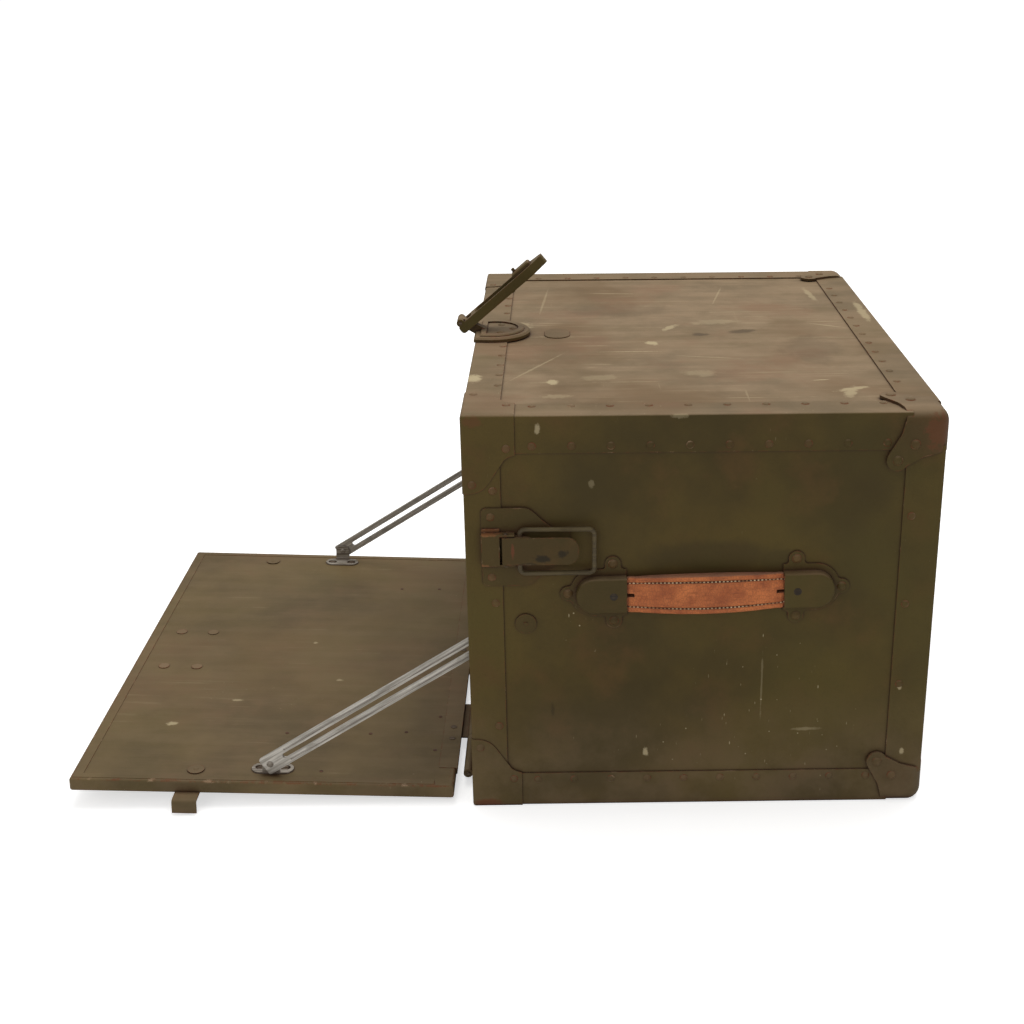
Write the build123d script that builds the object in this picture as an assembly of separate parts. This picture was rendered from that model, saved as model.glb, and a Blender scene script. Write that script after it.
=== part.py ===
from build123d import *
import os
from math import atan2, cos, degrees, hypot, radians, sin

# Drop-front footlocker. +X runs from the open front to the back, +Y from the near side to the far side
# and +Z up. The origin is the centre of the case's underside. The door hangs open in front of the case.
# Millimetres and degrees throughout.

# ---- Case ----
case_depth = 381.0
case_width = 510.0
case_height = 349.0
board = 9.5
edging = 1.2
edging_width = 31.0
front_edging_width = 29.5
edge_round = 1.8
wall = board + edging
front = -case_depth / 2
back = case_depth / 2
side = case_width / 2
rail_depth = 18.0
rail_top = 20.5

# ---- Corner pieces and rivets ----
plate_proud = 0.8
clamp_proud = 2.2
clamp_round = 10.0
clamp_reach = 32.0
rivet_radius = 3.3
rivet_height = 1.5
rivet_inset = 25.0
rivet_pitch = 31.0

# ---- Door and its hinge ----
door_length = 327.6
door_thick = 12.0
door_inset = 4.6
door_half = side - door_inset
open_tilt = 2.17
closing_angle = 90 - open_tilt
hinge_x = front - 6.8
hinge_z = 10.6
hinge_to_door = 10.6
hinge_below_face = 5.2
hinge_half = 220.0
knuckle_count = 7
knuckle_radius = 4.0
knuckle_gap = 0.4
leaf = 1.2
leaf_width = 15.0
pin_radius = 1.5
running_fit = 0.05

# ---- Slotted stays ----
stay_from_side = 15.5
stay_thick = 3.0
stay_half = 8.3
stay_end = 6.0
stay_slot_half = 2.5
stay_slot_start = 13.7
stay_pin_along = 158.0
stay_pin_height = 11.5
stay_pin_radius = 1.6
stud_radius = 2.2
stud_angle = 71.3

# ---- Draw latches, measured from the front face and out from the side ----
latch_z = 239.3
latch_left = 13.5
lever_pivot_x = 33.0
lever_pivot_out = 7.0
bail_pivot_x = 44.1
bail_pivot_out = 5.5
bail_length = 59.5
bail_half = 18.8
bail_drop = 2.0
wire = 2.0
lever_end = 91.0
lever_half = 11.5
housing_half = 13.5
housing_foot = 16.4
keeper_along = 227.5
keeper_half = 10.4
keeper_reach = 10.0
keeper_lip = 10.6

# ---- Handles ----
handle_x = front + 193.3
handle_z = 199.7
handle_tilt = -1.1
strap_half = 15.6
strap_tongue = 13.6
strap_thick = 4.4
strap_end = 92.0
cap_mouth = 63.5
cap_end = 104.5
cap_half = 15.2
plate_half = 20.5
cap_height = 10.5
ear_tip = 111.0
ear_x = 74.2
ear_z = 25.2

# ---- Hasp, measured along the strap from its pivot and up from the pivot towards the door side ----
hasp_x = front - 14.0
hasp_z = 361.6
hasp_angle = 40.3
hasp_length = 97.0
hasp_half = 11.0
hasp_skin = 10.0
hasp_flange = 8.5
hasp_tongue = 4.7
hasp_sheet = 1.6
hasp_barrel = 3.5
mount_depth = 50.0
mount_half = 33.0
lock_along = 281.0
staple_along = 74.0

parts = {}


def add(name, *shapes):
    """Collect the solids of the shapes as one named node."""
    solids = [solid for shape in shapes for solid in shape.solids()]
    parts[name] = solids[0] if len(solids) == 1 else Compound(solids)


def block(x0, x1, y0, y1, z0, z1):
    """A box between two corners."""
    return Pos((x0 + x1) / 2, (y0 + y1) / 2, (z0 + z1) / 2) * Box(x1 - x0, y1 - y0, z1 - z0)


def far(shape):
    """The same piece on the far side."""
    return mirror(shape, about=Plane.XZ)


def both(shape):
    """The near piece and its twin on the far side."""
    return [shape, far(shape)]


def drum(x, z, radius, y0, y1):
    """A cylinder along Y."""
    return Pos(x, (y0 + y1) / 2, z) * Rot(90, 0, 0) * Cylinder(radius, abs(y1 - y0))


def post(x, y, radius, z0, z1):
    """A cylinder along Z."""
    return Pos(x, y, (z0 + z1) / 2) * Cylinder(radius, abs(z1 - z0))


def prism_y(points, y0, y1):
    """A closed outline in X and Z, extruded along Y."""
    outline = make_face(Polyline(*[(x, -z) for x, z in points], close=True))
    return Pos(0, min(y0, y1), 0) * (Rot(-90, 0, 0) * extrude(outline, abs(y1 - y0)))


def dome(radius, height):
    """A domed head that stands on the XY plane."""
    ball = (radius**2 + height**2) / (2 * height)
    return Pos(0, 0, height - ball) * Sphere(ball) & Pos(0, 0, height / 2) * Box(3 * radius, 3 * radius, height)


rivet = dome(rivet_radius, rivet_height)
clamp_rivet = dome(4.1, 2.1)
TO_NEAR = Rot(90, 0, 0)
TO_BACK = Rot(0, 90, 0)


def near_rivet(x, z, proud=0.0):
    """A rivet head on the near side, at a distance from the front face."""
    return Pos(front + x, -side - proud, z) * TO_NEAR * rivet


# ======================= Case =======================
def corner_solid(proud, radius, size):
    """The solid corner at the back, top, near side, with its three edges rounded."""
    cube = block(back + proud - size, back + proud, -side - proud, -side - proud + size,
                 case_height + proud - size, case_height + proud)
    corner = (back + proud, -side - proud, case_height + proud)
    edges = [e for e in cube.edges()
             if sum(abs(a - b) < 0.01 for a, b in zip(e.center(), corner)) == 2]
    return fillet(edges, radius)


def four_corners(shape):
    """Copies for the top and bottom corners on both sides."""
    low = Pos(0, 0, case_height) * mirror(shape, about=Plane.XY)
    return both(shape) + both(low)


def case_block(inset):
    """The case as a solid block, its back corners rounded under the clamps."""
    whole = block(front + inset, back - inset, -side + inset, side - inset, inset, case_height - inset)
    if inset == 0:
        whole = fillet(whole.edges(), edge_round)
    size = clamp_reach - 4
    sharp = block(back - size, back + 1, -side - 1, -side + size, case_height - size, case_height + 1)
    cutter = sharp - corner_solid(-inset, clamp_round - inset, 2 * size)
    for piece in four_corners(cutter):
        whole -= piece
    return whole


def clamp_outline():
    """The flat outline of one wing: two arms and a round lobe between them, from the corner."""
    arms = make_face(Polyline((-3, -3), (clamp_reach, -3), (clamp_reach, 0), (36.5, 18), (45.5, 34), (34, 45.5),
                              (18, 36.5), (0, clamp_reach), (-3, clamp_reach), close=True))
    bends = [v for v in arms.vertices() if abs(v.X + v.Y - 54.5) < 0.1]
    return fillet(bends, 9) + Pos(38.5, 39.5) * Circle(8.6)


def plate_outline():
    """The flat outline of a front corner plate, a long arm along the front and a short arm back."""
    sweep_line = Spline((0, 64.5), (15, 61), (24, 50), (31, 39), (41.5, 32), tangents=[(1, 0), (1, -0.25)])
    rest = Polyline((41.5, 32), (41.5, -3), (-3, -3), (-3, 64.5), (0, 64.5))
    return make_face([sweep_line, rest])


def corner_clamp(base):
    """One back corner clamp: a rounded shell cut to its three lobed wings."""
    shell = corner_solid(clamp_proud, clamp_round + clamp_proud, 62) - base
    flat = extrude(clamp_outline(), 70, both=True)
    corner = Pos(back, -side, case_height)
    on_side = corner * Rot(90, 0, 0) * mirror(mirror(flat, about=Plane.YZ), about=Plane.XZ)
    on_top = corner * mirror(flat, about=Plane.YZ)
    on_back = corner * Rot(0, 90, 0) * flat
    depth = clamp_round + clamp_proud
    skin_side = block(-999, 999, -side - 9, -side + depth, -99, 999)
    skin_top = block(-999, 999, -999, 999, case_height - depth, case_height + 9)
    skin_back = block(back - depth, back + 9, -999, 999, -99, 999)
    clamp = shell & ((on_side & skin_side) + (on_top & skin_top) + (on_back & skin_back))
    return max(clamp.solids(), key=lambda solid: solid.volume)


def front_plate(base):
    """One front corner plate, folded over the side, the top and the rim of the opening."""
    size = 70
    shell = block(front - plate_proud, front + size, -side - plate_proud, -side + size,
                  case_height - size, case_height + plate_proud)
    corner = (front - plate_proud, -side - plate_proud, case_height + plate_proud)
    edges = [e for e in shell.edges()
             if sum(abs(a - b) < 0.01 for a, b in zip(e.center(), corner)) == 2]
    shell = fillet(edges, edge_round + plate_proud) - base
    shell -= block(front + wall, back, -side + wall, side, 0, case_height - wall)
    shell -= block(front - 9, back, -side + wall, side, 0, case_height - wall)
    flat = extrude(plate_outline(), 90, both=True)
    top_corner = Pos(front, -side, case_height)
    on_side = top_corner * Rot(90, 0, 0) * mirror(flat, about=Plane.XZ)
    on_top = top_corner * flat
    rim = block(front - 9, front + 6, -side - 9, -side + 33, case_height - 33, case_height + 9)
    skin_side = block(-999, 999, -side - 9, -side + 3, -99, 999)
    skin_top = block(-999, 999, -999, 999, case_height - 3, case_height + 9)
    plate = shell & ((on_side & skin_side) + (on_top & skin_top) + rim)
    return max(plate.solids(), key=lambda solid: solid.volume)


def build_case():
    """Boards, edging angles, corner pieces and their rivets."""
    envelope = case_block(0)
    core = case_block(edging)
    opening = block(front - 9, back - wall, -side + wall, side - wall, wall, case_height - wall)

    clamps = four_corners(corner_clamp(envelope))
    plates = four_corners(front_plate(envelope))
    above_floor = block(-999, 999, -999, 999, 0, 999)
    add("back_corner_clamps", *[clamp & above_floor for clamp in clamps])
    add("front_corner_plates", *[plate & above_floor for plate in plates])

    skin = envelope - core - opening
    low = edging_width
    high = case_height - edging_width
    full = (front - 1, back + 1)
    across = (-side - 1, side + 1)
    front_band = (front - 1, front + front_edging_width)
    back_band = (back - edging_width, back + 1)
    near_band = (-side - 1, -side + edging_width)
    far_band = (side - edging_width, side + 1)
    top_band = (high, case_height + 1)
    low_band = (-1, low)
    upright = (-1, case_height + 1)
    bands = {
        "top_side_edgings": [(*full, *near_band, *top_band), (*full, *far_band, *top_band)],
        "bottom_side_edgings": [(*full, *near_band, *low_band), (*full, *far_band, *low_band)],
        "top_back_edging": [(*back_band, *across, *top_band)],
        "bottom_back_edging": [(*back_band, *across, *low_band)],
        "top_front_edging": [(*front_band, *across, *top_band)],
        "bottom_front_edging": [(*front_band, *across, *low_band)],
        "back_upright_edgings": [(*back_band, *near_band, *upright), (*back_band, *far_band, *upright)],
        "front_upright_edgings": [(*front_band, *near_band, *upright), (*front_band, *far_band, *upright)],
    }
    edging_zone = None
    for name, zones in bands.items():
        zone = block(*zones[0]) if len(zones) == 1 else block(*zones[0]) + block(*zones[1])
        add(name, skin & zone)
        skin -= zone
        edging_zone = zone if edging_zone is None else edging_zone + zone

    inside = (front + edging, back - wall, -side + wall, side - wall)
    under = block(front + edging, back - edging, -side + edging, side - edging, 0, wall)
    add("base_board", (core + (under & envelope - edging_zone)) & block(-999, 999, -999, 999, -1, wall))
    add("top_board", core & block(-999, 999, -999, 999, case_height - wall, case_height))
    middle = core & block(-999, 999, -999, 999, wall, case_height - wall)
    add("side_board_near", (middle & block(-999, 999, -side, -side + wall, 0, case_height)) - stay_stud_hole())
    add("side_board_far", (middle & block(-999, 999, side - wall, side, 0, case_height)) - far(stay_stud_hole()))
    add("back_board", middle & block(back - wall, back, -side + wall, side - wall, 0, case_height))
    add("hinge_rail", block(inside[0], inside[0] + rail_depth, inside[2], inside[3], wall, rail_top))

    first = (case_depth - 9 * rivet_pitch) / 2 + 4
    along = [first + rivet_pitch * i for i in range(10)]
    uprights = [(23.5, 287), (23.5, 190), (23.5, 77), (case_depth - 24, 262), (case_depth - 24, 185),
                (case_depth - 24, 112)]
    side_heads = [near_rivet(x, z) for x in along for z in (rivet_inset, case_height - rivet_inset)]
    side_heads += [near_rivet(x, z) for x, z in uprights]
    top_heads = [Pos(front + x, -side + rivet_inset, case_height) * rivet for x in along]
    rows = [rivet_pitch * (i + 0.5) for i in range(6)]
    for y in rows:
        top_heads.append(Pos(front + 26, -y, case_height) * rivet)
        top_heads.append(Pos(back - 24, -y, case_height) * rivet)
    back_heads = [Pos(back, -y, z) * TO_BACK * rivet for y in rows
                  for z in (rivet_inset, case_height - rivet_inset)]
    back_heads += [Pos(back, -side + 24, z) * TO_BACK * rivet for z in (112, 185, 262)]
    heads = side_heads + top_heads + back_heads
    keep = [h for h in heads if not over_mount(h)]
    add("edging_rivets", *keep, *[far(h) for h in keep])

    clamp_heads = []
    for a in (38.5, 25.3):
        clamp_heads.append(Pos(back - a, -side - clamp_proud, case_height - a - 0.7) * TO_NEAR * clamp_rivet)
        clamp_heads.append(Pos(back - a, -side + a + 0.7, case_height + clamp_proud) * clamp_rivet)
        clamp_heads.append(Pos(back + clamp_proud, -side + a, case_height - a - 0.7) * TO_BACK * clamp_rivet)
    plate_heads = []
    for a, b in ((34.8, 26.5), (7.2, 56.5)):
        plate_heads.append(Pos(front + a, -side - plate_proud, case_height - b) * TO_NEAR * rivet)
        plate_heads.append(Pos(front + a, -side + b, case_height + plate_proud) * rivet)
    corner_heads = [copy for head in clamp_heads + plate_heads for copy in four_corners(head)]
    add("corner_rivets", *[h for h in corner_heads if h.center().Z > 0])
    round_plug = Pos(front + 75, 0, case_height - edging) * extrude(SlotOverall(34, 23.5, rotation=90), 0.9)
    add("top_plug", fillet(round_plug.edges().group_by(Axis.Z)[-1], 0.5))


def over_mount(head):
    """True for a rivet head that the hasp's mount would cover."""
    spot = head.center()
    return spot.X < front + mount_depth + 4 and abs(spot.Y) < mount_half + 4 and spot.Z > case_height


# ======================= Door =======================
def on_door(shape):
    """Place a piece from the door's own frame: hinge line at the origin, inner face up, free end at -X."""
    return Pos(hinge_x, 0, hinge_z) * Rot(0, open_tilt, 0) * shape


FACE = hinge_below_face
BACK_FACE = hinge_below_face - door_thick
EDGE = -hinge_to_door
FREE = EDGE - door_length


def knuckles(own):
    """The barrel lengths of one leaf: even ones are the case's, odd ones the door's."""
    pitch = 2 * hinge_half / knuckle_count
    spans = []
    for i in range(own, knuckle_count, 2):
        start = -hinge_half + i * pitch + knuckle_gap / 2
        spans.append((start, start + pitch - knuckle_gap))
    return spans


def hinge_leaves():
    """The case leaf, the door leaf in the door's frame, and the pin."""
    bore = drum(0, 0, pin_radius + running_fit, -side, side)
    place = Pos(hinge_x, 0, hinge_z)
    case_leaf = block(front - leaf, front, -hinge_half, hinge_half, 4.0, 19.5)
    for y0, y1 in knuckles(0):
        case_leaf += place * drum(0, 0, knuckle_radius, y0, y1)
        case_leaf += block(hinge_x, front - leaf / 2, y0, y1, hinge_z - leaf / 2, hinge_z + leaf / 2)
    case_leaf -= place * bore
    door_leaf = block(EDGE - leaf_width, EDGE + leaf, -hinge_half, hinge_half, FACE - leaf + 0.3, FACE + 0.3)
    door_leaf += block(EDGE, EDGE + leaf, -hinge_half, hinge_half, -leaf / 2, FACE + 0.3)
    for y0, y1 in knuckles(1):
        door_leaf += drum(0, 0, knuckle_radius, y0, y1)
        door_leaf += block(EDGE, 0, y0, y1, -leaf / 2, leaf / 2)
    door_leaf -= bore
    pin = place * drum(0, 0, pin_radius, -hinge_half - 1, hinge_half + 1)
    return case_leaf, door_leaf, pin


def screw_head(radius, height, slot):
    """A flat round screw head with a driver slot."""
    head = Pos(0, 0, height / 2) * Cylinder(radius, height)
    return head - Pos(0, 0, height) * Box(3 * radius, slot, height)


def keeper():
    """The near keeper: a strap let into the door's outer face, rolled over beyond its edge."""
    edge_y = -door_half
    lip_y = -side - keeper_reach
    strap = block(-keeper_half, keeper_half, lip_y, edge_y + 32, 0, 1.6)
    strap += block(-keeper_half - 7, keeper_half + 7, edge_y + 3, edge_y + 32, 0, 1.6)
    strap += block(-keeper_half, keeper_half, lip_y, lip_y + 1.6, -keeper_lip, 1.6)
    outer = [e for e in strap.edges().filter_by(Axis.X)
             if abs(e.center().Y - lip_y) < 0.01 and abs(e.center().Z - 1.6) < 0.01]
    strap = fillet(outer, 3.4)
    inner = [e for e in strap.edges().filter_by(Axis.X)
             if abs(e.center().Y - lip_y - 1.6) < 0.01 and abs(e.center().Z) < 0.01]
    return Pos(EDGE - keeper_along, 0, BACK_FACE) * fillet(inner, 1.8)


def stay_bracket():
    """The near stay bracket: a base with two oval screw holes and an upright ear."""
    ear_y = -side + stay_from_side + stay_thick + 0.5
    base = Pos(0, ear_y + 8, 0) * extrude(SlotOverall(36, 16), 1.4)
    for x in (-10.5, 10.5):
        base -= Pos(x, ear_y + 9, 0) * extrude(SlotOverall(9.5, 6.6), 5, both=True)
    tall = stay_pin_height + 6
    ear = Pos(0, 0, tall / 2) * Box(15, 1.5, tall)
    ear = fillet(ear.edges().filter_by(Axis.Y).group_by(Axis.Z)[-1], 6)
    bracket = base + Pos(0, ear_y + 0.75, 0) * ear
    return bracket - drum(0, stay_pin_height, stay_pin_radius + running_fit, -side, 0)


def stay_pin():
    """The riveted pin that joins the near stay to its bracket, on the stay's own frame."""
    start = -side + stay_from_side
    body = drum(0, 0, stay_pin_radius, start - 0.2, start + stay_thick + 2.2)
    head = Pos(0, start - 0.2, 0) * TO_NEAR * dome(2.9, 1.3)
    tail = Pos(0, start + stay_thick + 2.2, 0) * Rot(-90, 0, 0) * dome(2.9, 1.1)
    return body + head + tail


def build_door():
    """Door panel and everything fixed to it."""
    case_leaf, door_leaf, pin = hinge_leaves()
    add("hinge_leaf_case", case_leaf)
    add("hinge_pin", pin)
    add("hinge_leaf_door", on_door(door_leaf))

    slab = fillet(block(FREE, EDGE, -door_half, door_half, BACK_FACE, FACE).edges(), 2.4)
    core = block(FREE + 0.8, EDGE - 0.8, -door_half + 0.8, door_half - 0.8, BACK_FACE + 0.6, FACE - 0.6)
    core += block(FREE + 4.5, EDGE - 4.5, -door_half + 4.5, door_half - 4.5, BACK_FACE, FACE)
    core &= slab
    rim = block(FREE + 2.5, EDGE - leaf_width - 2, -door_half + 2.5, door_half - 2.5, FACE - 1, FACE + 0.5)
    rim -= block(FREE + 10.5, EDGE, -door_half + 9.5, door_half - 9.5, FACE - 2, FACE + 2)
    rim = fillet(rim.edges().group_by(Axis.Z)[-1], 0.45)
    core -= rim
    binding = slab - core + rim
    keepers = both(keeper())
    staple_x = EDGE - (hasp_z - staple_along - (hinge_z + hinge_to_door))
    pocket = block(staple_x - 11, staple_x + 11, -8, 8, BACK_FACE - 5, BACK_FACE + 5)
    pocket += block(staple_x - 10, staple_x - 1, -3, 3, BACK_FACE - 5, BACK_FACE + 8)
    lock_x = EDGE - lock_along
    plate = block(lock_x - 22, lock_x + 22, -46, 46, BACK_FACE - 1.2, BACK_FACE)
    plate += block(lock_x - 22, lock_x + 36, -20, 20, BACK_FACE - 1.2, BACK_FACE)
    plate = fillet(plate.edges().filter_by(Axis.Z), 6) - pocket
    add("lock_plate", on_door(plate))
    for name, piece in (("door_board", core), ("door_binding", binding)):
        for tool in (door_leaf, pocket, *keepers):
            piece = piece - tool
        add(name, on_door(piece))

    lock_heads = []
    for dx in (-16, 16):
        for y in (-38.5, 38.5):
            lock_heads.append(on_door(Pos(lock_x + dx, y, FACE + 0.3) * Cylinder(5.2, 0.6)))
            lock_heads.append(on_door(Pos(lock_x + dx, y, BACK_FACE - 1.2) * Rot(180, 0, 0) * dome(3.2, 1.2)))
    add("lock_rivets", *lock_heads)
    add("keeper_near", on_door(keepers[0]))
    add("keeper_far", on_door(keepers[1]))

    disc = Pos(0, 0, 0.5) * Cylinder(7.2, 1.0) + Pos(0, 0, 1.0) * dome(2.4, 0.8)
    spots = [(keeper_along - 4, -side + 23.3), (keeper_along + 8.5, side - 29)]
    add("keeper_bolts", *[on_door(Pos(EDGE - s, y, FACE) * disc) for s, y in spots])

    bracket_x = EDGE - stay_pin_along
    bracket = Pos(bracket_x, 0, FACE) * stay_bracket()
    add("stay_bracket_near", on_door(bracket))
    add("stay_bracket_far", on_door(far(bracket)))
    pins = Pos(bracket_x, 0, FACE + stay_pin_height) * stay_pin()
    add("stay_pins", *[on_door(p) for p in both(pins)])
    screw_y = -side + stay_from_side + stay_thick + 9.5
    screws = [Pos(bracket_x + x, screw_y, FACE) * screw_head(3.1, 1.1, 0.9) for x in (-10.5, 10.5)]
    add("bracket_screws", *[on_door(s) for screw in screws for s in both(screw)])

    leaf_spots = [(-6.5, y) for y in (-169, -148, -10.5, 10.5)]
    leaf_screws = [Pos(EDGE + x, y, FACE + 0.3) * screw_head(2.6, 0.5, 0.7) for x, y in leaf_spots]
    twins = leaf_screws[:2] + [far(s) for s in leaf_screws[:2]] + leaf_screws[2:]
    add("hinge_screws_door", *[on_door(s) for s in twins])
    case_screws = [Pos(front - leaf - 0.15, y, 16.4) * Rot(0, -90, 0) * Cylinder(2.0, 0.3)
                   for y in (-169, -148, 148, 169)]
    add("hinge_screws_case", *case_screws)
    nails = ((20, 126), (49, 96), (81, 92), (20.6, 65), (116, 25), (156, 90), (42, 415), (83, 413))
    add("door_nails", *[on_door(Pos(EDGE - s, -side + y, FACE + 0.15) * Cylinder(1.6, 0.3)) for s, y in nails])


# ======================= Slotted stays =======================
pin_from_hinge = hypot(hinge_to_door + stay_pin_along, hinge_below_face + stay_pin_height)
pin_angle = degrees(atan2(hinge_below_face + stay_pin_height, -(hinge_to_door + stay_pin_along))) - open_tilt
pin_x = hinge_x + pin_from_hinge * cos(radians(pin_angle))
pin_z = hinge_z + pin_from_hinge * sin(radians(pin_angle))
# The stud is as far from the hinge line as the pin is, so a stay turns by half the door's angle.
stud_x = hinge_x + pin_from_hinge * cos(radians(stud_angle))
stud_z = hinge_z + pin_from_hinge * sin(radians(stud_angle))
stay_reach = hypot(stud_x - pin_x, stud_z - pin_z)
stay_angle = degrees(atan2(stud_z - pin_z, stud_x - pin_x))


def stay_stud_hole():
    """The hole through the near side board for its stud."""
    return drum(stud_x, stud_z, stud_radius, -side - 5, -side + wall + 5)


def stay():
    """The near stay: a flat bar with a long slot and a groove along each rail, pin at the origin."""
    slot_end = stay_reach + stay_slot_half + 0.2
    length = slot_end + 7
    y0 = -side + stay_from_side
    bar = block(-stay_end, length, y0, y0 + stay_thick, -stay_half, stay_half)
    ends = bar.edges().filter_by(Axis.Y)
    bar = fillet(ends.group_by(Axis.X)[-1], 6)
    bar = chamfer(bar.edges().filter_by(Axis.Y).group_by(Axis.X)[0], 0.8)
    slot_mid = (stay_slot_start + slot_end) / 2
    slot_long = slot_end - stay_slot_start
    slot = extrude(SlotOverall(slot_long, 2 * stay_slot_half), 10, both=True)
    bar -= Pos(slot_mid, y0, 0) * TO_NEAR * slot
    for z in (-5.4, 5.4):
        bar -= block(18, length - 8, y0 - 1, y0 + 0.5, z - 0.8, z + 0.8)
    bar -= drum(0, 0, stay_pin_radius + running_fit, -side, 0)
    return Pos(pin_x, 0, pin_z) * Rot(0, -stay_angle, 0) * bar


def stay_stud():
    """The near stud: a disc outside, a collar inside, and a headed post that runs in the slot."""
    surface = -side + edging
    inner = -side + wall
    stay_y = -side + stay_from_side
    head_y = stay_y + stay_thick + 0.6
    stud = drum(0, 0, stud_radius, surface, head_y + 1.5)
    stud += drum(0, 0, 8.6, surface - 1.3, surface) + drum(0, 0, 1.6, surface - 1.9, surface - 1.3)
    stud += drum(0, 0, 4.5, inner, stay_y - 0.5)
    stud += drum(0, 0, 5.0, head_y, head_y + 1.5)
    return Pos(stud_x, 0, stud_z) * stud


def build_stays():
    """Stays and the studs that they slide on."""
    add("stay_near", stay())
    add("stay_far", far(stay()))
    add("stay_studs", *both(stay_stud()))


# ======================= Draw latches =======================
def out_block(x0, x1, z0, z1, out0, out1):
    """A box on the near side, from distances behind the front face, heights from the latch and out."""
    return block(front + x0, front + x1, -side - out1, -side - out0, latch_z + z0, latch_z + z1)


def latch_plate():
    """The base plate: square at the front, narrowing in a double curve behind the lever."""
    upper = Spline((46, 33.5), (56, 29), (68, 18), (84, 13), tangents=[(1, 0), (1, -0.05)])
    lower = Spline((84, -13), (68, -18), (56, -29), (46, -33.5), tangents=[(-1, -0.05), (-1, 0)])
    left = Polyline((46, -33.5), (latch_left, -33.5), (latch_left, 33.5), (46, 33.5))
    sheet = make_face([upper, Line((84, 13), (84, -13)), lower, left])
    corners = [v for v in sheet.vertices() if v.X < latch_left + 1]
    sheet = fillet(corners, 4)
    return Pos(front, -side, latch_z) * TO_NEAR * extrude(sheet, 1.2)


def latch_housing():
    """The open-backed box that carries the lever's pin."""
    shell = out_block(latch_left, 40, -housing_half, housing_half, 1.2, 9.4)
    shell = fillet(shell.edges().filter_by(Axis.X).group_by(Axis.Y)[0], 1.0)
    shell += out_block(latch_left, 28, -housing_foot, housing_foot, 1.2, 2.6)
    shell -= out_block(latch_left + 1.4, 50, -housing_half + 1.4, housing_half - 1.4, 1.1, 8.0)
    shell -= out_block(28.1, 50, -housing_half + 1.4, housing_half - 1.4, 1.1, 12)
    return shell - post(front + lever_pivot_x, -side - lever_pivot_out, pin_radius, latch_z - 30, latch_z + 30)


def latch_lever():
    """The lever: a thin arched thumb plate with two cheeks for its pin and the bail."""
    pivot = (front + lever_pivot_x, -side - lever_pivot_out)
    eye = (front + bail_pivot_x, -side - bail_pivot_out)
    plate = out_block(30.2, lever_end, -lever_half, lever_half, 9.7, 11.0)
    plate = fillet(plate.edges().filter_by(Axis.Y).group_by(Axis.X)[-1], 9)
    cheek = post(*pivot, 3.4, -lever_half, -lever_half + 1.4) + post(*eye, 3.3, -lever_half, -lever_half + 1.4)
    x, y = front, -side
    web = Polyline((x + 30.6, y - 9.8), (x + 30.2, y - 7.4), (x + 33, y - 3.7), (x + 44, y - 2.3),
                   (x + 47.2, y - 4.6), (x + 54, y - 9.8), close=True)
    cheek += Pos(0, 0, -lever_half) * extrude(make_face(web), 1.4)
    cheek -= post(*pivot, pin_radius + running_fit, -50, 50)
    cheek -= post(*eye, wire + 0.07, -50, 50)
    low = Pos(0, 0, latch_z) * cheek
    high = Pos(0, 0, latch_z) * mirror(cheek, about=Plane.XY)
    return plate + low + high


def latch_bail():
    """The bail: one closed loop of round wire, its front bar through the lever's eyes."""
    loop = RectangleRounded(bail_length, 2 * bail_half, 4.5)
    path = loop.wire()
    start = path @ 0
    section = Plane(origin=start, z_dir=path % 0) * Circle(wire)
    ring = sweep(section, path=path)
    place = Pos(front + bail_pivot_x + bail_length / 2, -side - bail_pivot_out, latch_z - bail_drop)
    return place * TO_NEAR * ring


def build_latches():
    """A draw latch on each side."""
    pieces = {"latch_plate": latch_plate(), "latch_housing": latch_housing(), "latch_lever": latch_lever(),
              "latch_bail": latch_bail()}
    for name, piece in pieces.items():
        add(name + "_near", piece)
        add(name + "_far", far(piece))
    pin = post(front + lever_pivot_x, -side - lever_pivot_out, pin_radius, latch_z - housing_half - 0.8,
               latch_z + housing_half + 0.8)
    add("latch_pins", *both(pin))


# ======================= Handles =======================
def on_handle(shape):
    """Place a piece from the handle's own frame: X along the strap, Y across it, Z out from the panel."""
    return Pos(handle_x, -side + edging, handle_z) * Rot(0, handle_tilt, 0) * TO_NEAR * shape


def handle_plate():
    """The front base plate: a body under the cap and three round ears."""
    ears = [(-ear_tip, 0), (-ear_x, ear_z), (-ear_x, -ear_z)]
    length = cap_end + 4.5 - cap_mouth
    body = Pos(-cap_mouth - length / 2, 0) * Rectangle(length, 2 * plate_half)
    body = fillet(body.vertices().group_by(Axis.X)[0], 19)
    for x, y in ears:
        body += Pos(x, y) * Circle(6.4)
    necks = [v for v in body.vertices() for x, y in ears if abs(hypot(v.X - x, v.Y - y) - 6.4) < 0.01]
    body = fillet(necks, 3)
    return extrude(body, 1.5)


def handle_cap():
    """The front cap: a rounded box, open towards the strap."""
    outline = Pos(-(cap_mouth + cap_end) / 2, 0) * Rectangle(cap_end - cap_mouth, 2 * cap_half)
    outline = fillet(outline.vertices().group_by(Axis.X)[0], 15)
    outer = Pos(0, 0, 1.5) * extrude(outline, cap_height - 1.5)
    outer = fillet(outer.edges().group_by(Axis.Z)[-1].filter_by(lambda e: e.center().X < -cap_mouth - 0.1), 2.2)
    hollow = Pos(0.8, 0, 1.4) * extrude(offset(outline, -1.2, kind=Kind.INTERSECTION), cap_height - 2.7)
    hollow += block(-cap_mouth - 4, -cap_mouth + 1, -cap_half + 1.2, cap_half - 1.2, 1.4, cap_height - 1.3)
    return outer - hollow - post(-ear_x, 0, 1.1, 0, 20)


def handle_stud():
    """The stud that holds the strap's slot inside a cap, with a dished head outside."""
    stud = post(-ear_x, 0, 1.1, 1.5, cap_height)
    return stud + Pos(-ear_x, 0, cap_height) * dome(3.2, 1.0)


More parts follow.
